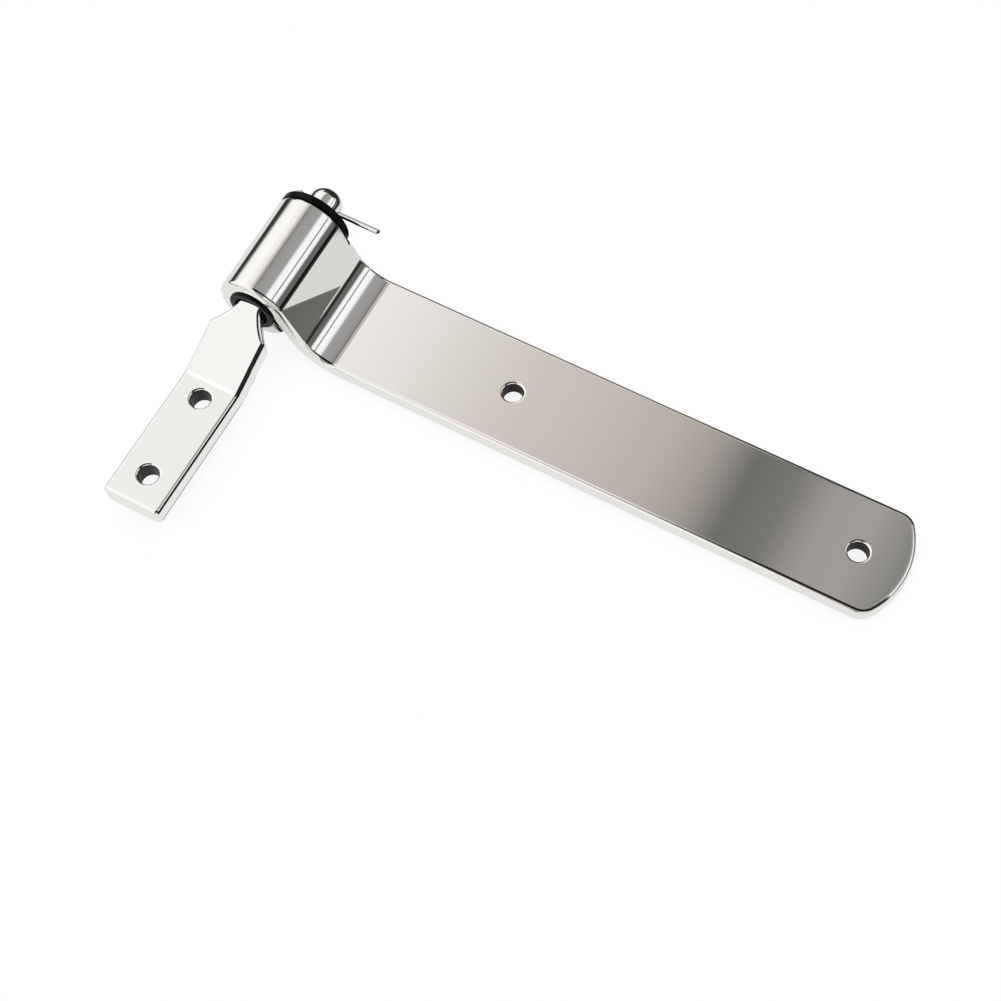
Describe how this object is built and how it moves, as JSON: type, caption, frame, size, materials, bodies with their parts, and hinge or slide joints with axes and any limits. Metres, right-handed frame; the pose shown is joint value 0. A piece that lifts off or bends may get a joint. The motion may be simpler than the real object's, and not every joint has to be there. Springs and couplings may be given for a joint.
{
  "type": "lift-off hinge",
  "caption": "Polished lift-off strap hinge: a cranked strap with a rolled eye turns on the pin of a bent bracket, held by a split pin, with black plastic bush and washer.",
  "frame": {"origin": "middle of the strap's two bolt holes, on the strap's mounting face", "axes": "+X along the strap away from the eye, +Y along the pin from the bracket to the pin's tip, +Z out of the mounting face"},
  "size_m": [0.2466, 0.1315, 0.0345],
  "materials": {
    "polished_strap": "mirror polished stainless steel, faint lengthwise polish",
    "polished_bracket": "mirror polished stainless steel",
    "black_plastic": "moulded, slightly glossy",
    "bright_wire": "bright drawn wire"
  },
  "bodies": {
    "bracket": {"pintle": "polished_bracket"},
    "washer": {"end_washer": "black_plastic"},
    "leaf": {"strap_leaf": "polished_strap", "flanged_bush": "black_plastic"},
    "cotter": {"split_pin": "bright_wire"}
  },
  "joints": [
    {"name": "lift", "type": "slide", "parent": "bracket", "child": "washer", "axis": [0, 1, 0], "range_m": [0, 0.0017]},
    {"name": "swing", "type": "hinge", "parent": "washer", "child": "leaf", "pos_m": [-0.1525, 0, 0.0214], "axis": [0, -1, 0], "continuous": true},
    {"name": "cotter_pull", "type": "slide", "parent": "bracket", "child": "cotter", "axis": [-1, 0, 0], "range_m": [0, 0.0295]}
  ]
}
